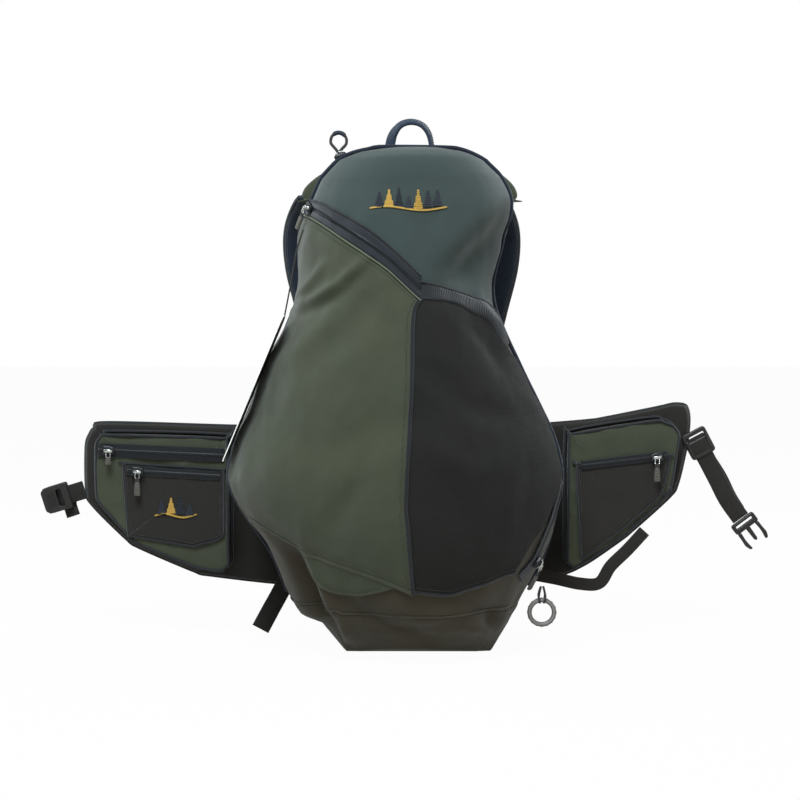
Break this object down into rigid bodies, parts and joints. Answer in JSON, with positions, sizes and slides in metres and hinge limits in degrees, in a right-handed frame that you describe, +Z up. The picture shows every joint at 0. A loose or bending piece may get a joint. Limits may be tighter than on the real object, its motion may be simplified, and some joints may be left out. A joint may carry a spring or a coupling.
{
  "type": "backpack",
  "caption": "Upright soft hunting backpack with padded shoulder straps, zipped bag, stretch pocket and a hip belt with pocketed wings.",
  "frame": {"origin": "on the floor under the middle of the bag", "axes": "+Z up, -Y the bag's front, +Y the wearer's side, +X to the right seen from the front"},
  "size_m": [0.796, 0.2647, 0.5539],
  "materials": {
    "olive_cloth": "woven matt",
    "ripstop": "ribbed ripstop",
    "dark_cloth": "woven matt",
    "zip_tape": "woven tape",
    "strap_mesh": "spacer mesh",
    "back_mesh": "spacer mesh",
    "webbing": "woven webbing",
    "handle_webbing": "woven webbing",
    "stiffener": "plain sheet",
    "lining": "plain weave",
    "buckle_plastic": "moulded",
    "slider_metal": "satin",
    "pull_rubber": "moulded",
    "ring_plastic": "moulded",
    "tag_card": "printed card",
    "string": "twisted"
  },
  "bodies": {
    "pack": {"base_panel": "olive_cloth", "front_panel": "olive_cloth", "main_zip_tape": "zip_tape", "gusset": "olive_cloth", "back_panel": "back_mesh", "frame_sheet": "stiffener", "inner_sleeve": "lining", "front_zip_tape": "zip_tape", "front_flap": "olive_cloth", "lower_flap": "olive_cloth", "stretch_pocket": "ripstop", "pocket_hem": "ripstop", "side_zip_tape": "zip_tape", "lumbar_belt": "back_mesh", "back_pads": "back_mesh", "harness_yoke": "olive_cloth"},
    "handle": {"grab_handle": "handle_webbing"},
    "main_zip": {"main_slider": "slider_metal"},
    "main_tab": {"main_pull": "pull_rubber"},
    "front_zip": {"front_slider": "slider_metal"},
    "front_tab": {"front_pull": "pull_rubber"},
    "side_zip": {"side_slider": "slider_metal"},
    "side_tab": {"side_pull": "pull_rubber"},
    "ring": {"side_ring": "ring_plastic", "ring_cord": "string"},
    "tag": {"tag_string": "string", "hang_tag": "tag_card"},
    "left_hip": {"left_wing": "dark_cloth", "left_wing_pocket": "olive_cloth", "left_wing_front_pocket": "dark_cloth", "left_wing_zip_tapes": "zip_tape"},
    "right_hip": {"right_wing": "dark_cloth", "right_wing_pocket": "olive_cloth", "right_wing_front_pocket": "dark_cloth", "right_wing_zip_tapes": "zip_tape", "right_belt_lock": "buckle_plastic"},
    "left_upper_zip": {"left_upper_slider": "slider_metal"},
    "left_upper_tab": {"left_upper_pull": "pull_rubber"},
    "left_lower_zip": {"left_lower_slider": "slider_metal"},
    "left_lower_tab": {"left_lower_pull": "pull_rubber"},
    "right_lower_zip": {"right_lower_slider": "slider_metal"},
    "right_lower_tab": {"right_lower_pull": "pull_rubber"},
    "left_belt_strap": {"left_waist_strap": "webbing"},
    "left_buckle": {"left_buckle_socket": "buckle_plastic"},
    "right_belt_strap": {"right_waist_strap": "webbing"},
    "right_buckle": {"right_buckle_body": "buckle_plastic"},
    "upper_prong": {"upper_buckle_prong": "buckle_plastic"},
    "lower_prong": {"lower_buckle_prong": "buckle_plastic"},
    "left_harness": {"left_shoulder_strap": "strap_mesh", "left_shoulder_webbing": "webbing", "left_shoulder_adjuster": "buckle_plastic"},
    "left_sternum": {"left_sternum_webbing": "webbing", "left_sternum_buckle": "buckle_plastic"},
    "right_harness": {"right_shoulder_strap": "strap_mesh", "right_shoulder_webbing": "webbing", "right_shoulder_adjuster": "buckle_plastic"},
    "right_sternum": {"right_sternum_webbing": "webbing", "right_sternum_buckle": "buckle_plastic"},
    "left_tail": {"left_lower_tail": "webbing"},
    "right_tail": {"right_lower_tail": "webbing"}
  },
  "joints": [
    {"name": "handle_fold", "type": "hinge", "parent": "pack", "child": "handle", "pos_m": [0.0135, 0.03, 0.5229], "axis": [1, 0, 0], "range_deg": [-75, 70]},
    {"name": "main_zip_run", "type": "hinge", "parent": "pack", "child": "main_zip", "pos_m": [0.01524, -0.013, 0.34797], "axis": [0, 1, 0], "range_deg": [0, 42.02]},
    {"name": "front_zip_run", "type": "hinge", "parent": "pack", "child": "front_zip", "pos_m": [-0.01478, 0.01129, 0.37492], "axis": [0.661, 0.2123, 0.7198], "range_deg": [0, 67.89]},
    {"name": "side_zip_run", "type": "hinge", "parent": "pack", "child": "side_zip", "pos_m": [0.07459, 0.05426, 0.1466], "axis": [-0.6988, -0.5674, 0.4356], "range_deg": [0, 25.72]},
    {"name": "main_pull_swing", "type": "hinge", "parent": "main_zip", "child": "main_tab", "pos_m": [-0.06111, -0.013, 0.51711], "axis": [0, 1, 0], "range_deg": [-40, 15]},
    {"name": "front_pull_swing", "type": "hinge", "parent": "front_zip", "child": "front_tab", "pos_m": [-0.09394, -0.04365, 0.45996], "axis": [-0.4289, 0.8066, 0.4067], "range_deg": [0, 110]},
    {"name": "side_pull_swing", "type": "hinge", "parent": "side_zip", "child": "side_tab", "pos_m": [0.14639, -0.06723, 0.09812], "axis": [-0.788, -0.6157, 0], "range_deg": [0, 110]},
    {"name": "ring_swing", "type": "hinge", "parent": "side_tab", "child": "ring", "pos_m": [0.14639, -0.06723, 0.06772], "axis": [1, 0, 0], "range_deg": [-14, 14]},
    {"name": "tag_swing", "type": "hinge", "parent": "pack", "child": "tag", "pos_m": [-0.0956, -0.0546, 0.436], "axis": [0, 1, 0], "range_deg": [0, 50]},
    {"name": "left_wing_fold", "type": "hinge", "parent": "pack", "child": "left_hip", "pos_m": [-0.112, 0.067, 0.14], "axis": [0, 0, -1], "range_deg": [0, 75]},
    {"name": "right_wing_fold", "type": "hinge", "parent": "pack", "child": "right_hip", "pos_m": [0.112, 0.067, 0.14], "axis": [0, 0, 1], "range_deg": [0, 75]},
    {"name": "left_upper_zip_run", "type": "slide", "parent": "left_hip", "child": "left_upper_zip", "axis": [0.999, 0, -0.0444], "range_m": [0, 0.1151]},
    {"name": "left_upper_pull_swing", "type": "hinge", "parent": "left_upper_zip", "child": "left_upper_tab", "pos_m": [-0.30901, 0.0211, 0.20447], "axis": [-1, 0, 0], "range_deg": [0, 140]},
    {"name": "left_lower_zip_run", "type": "slide", "parent": "left_hip", "child": "left_lower_zip", "axis": [0.9982, 0, -0.0599], "range_m": [0, 0.0802]},
    {"name": "left_lower_pull_swing", "type": "hinge", "parent": "left_lower_zip", "child": "left_lower_tab", "pos_m": [-0.27802, 0.0195, 0.18228], "axis": [-1, 0, 0], "range_deg": [0, 140]},
    {"name": "right_lower_zip_run", "type": "slide", "parent": "right_hip", "child": "right_lower_zip", "axis": [-0.9929, 0, -0.1187], "range_m": [0, 0.0727]},
    {"name": "right_lower_pull_swing", "type": "hinge", "parent": "right_lower_zip", "child": "right_lower_tab", "pos_m": [0.27609, 0.0195, 0.19758], "axis": [-1, 0, 0], "range_deg": [0, 140]},
    {"name": "left_strap_bend", "type": "hinge", "parent": "left_hip", "child": "left_belt_strap", "pos_m": [-0.34556, 0.065, 0.15674], "axis": [-0.2924, 0, 0.9563], "range_deg": [-80, 80]},
    {"name": "left_buckle_turn", "type": "hinge", "parent": "left_belt_strap", "child": "left_buckle", "pos_m": [-0.359, 0.065, 0.15263], "axis": [-0.2924, 0, 0.9563], "range_deg": [-40, 40]},
    {"name": "right_strap_bend", "type": "hinge", "parent": "right_hip", "child": "right_belt_strap", "pos_m": [0.33446, 0.058, 0.19463], "axis": [0.8833, 0, 0.4688], "range_deg": [-80, 80]},
    {"name": "right_buckle_turn", "type": "hinge", "parent": "right_belt_strap", "child": "right_buckle", "pos_m": [0.37457, 0.058, 0.12624], "axis": [0.7986, 0, 0.6018], "range_deg": [-40, 40]},
    {"name": "upper_prong_press", "type": "hinge", "parent": "right_buckle", "child": "upper_prong", "pos_m": [0.38962, 0.058, 0.12205], "axis": [0, 1, 0], "range_deg": [0, 7], "stiffness_Nm_per_rad": 0.08},
    {"name": "lower_prong_press", "type": "hinge", "parent": "right_buckle", "child": "lower_prong", "pos_m": [0.37445, 0.058, 0.11062], "axis": [0, 1, 0], "range_deg": [-7, 0], "stiffness_Nm_per_rad": 0.08},
    {"name": "left_strap_swing", "type": "hinge", "parent": "pack", "child": "left_harness", "pos_m": [-0.113, 0.071, 0.478], "axis": [-0.0763, -0.0144, 0.997], "range_deg": [0, 32]},
    {"name": "left_sternum_swing", "type": "hinge", "parent": "left_harness", "child": "left_sternum", "pos_m": [-0.078, 0.1243, 0.369], "axis": [0, 1, 0], "range_deg": [-90, 0]},
    {"name": "right_strap_swing", "type": "hinge", "parent": "pack", "child": "right_harness", "pos_m": [0.121, 0.071, 0.478], "axis": [0.0763, -0.0144, 0.997], "range_deg": [-32, 0]},
    {"name": "right_sternum_swing", "type": "hinge", "parent": "right_harness", "child": "right_sternum", "pos_m": [0.086, 0.1243, 0.369], "axis": [0, 1, 0], "range_deg": [0, 90]},
    {"name": "left_tail_bend", "type": "hinge", "parent": "pack", "child": "left_tail", "pos_m": [-0.10792, 0.036, 0.0862], "axis": [0.8841, 0, -0.4674], "range_deg": [-30, 10]},
    {"name": "right_tail_bend", "type": "hinge", "parent": "pack", "child": "right_tail", "pos_m": [0.1333, 0.0231, 0.0735], "axis": [0, 0, 1], "range_deg": [-12, 5]}
  ],
  "couplings": [
    {"joint": "lower_prong_press", "follows": "upper_prong_press", "ratio": -1}
  ]
}
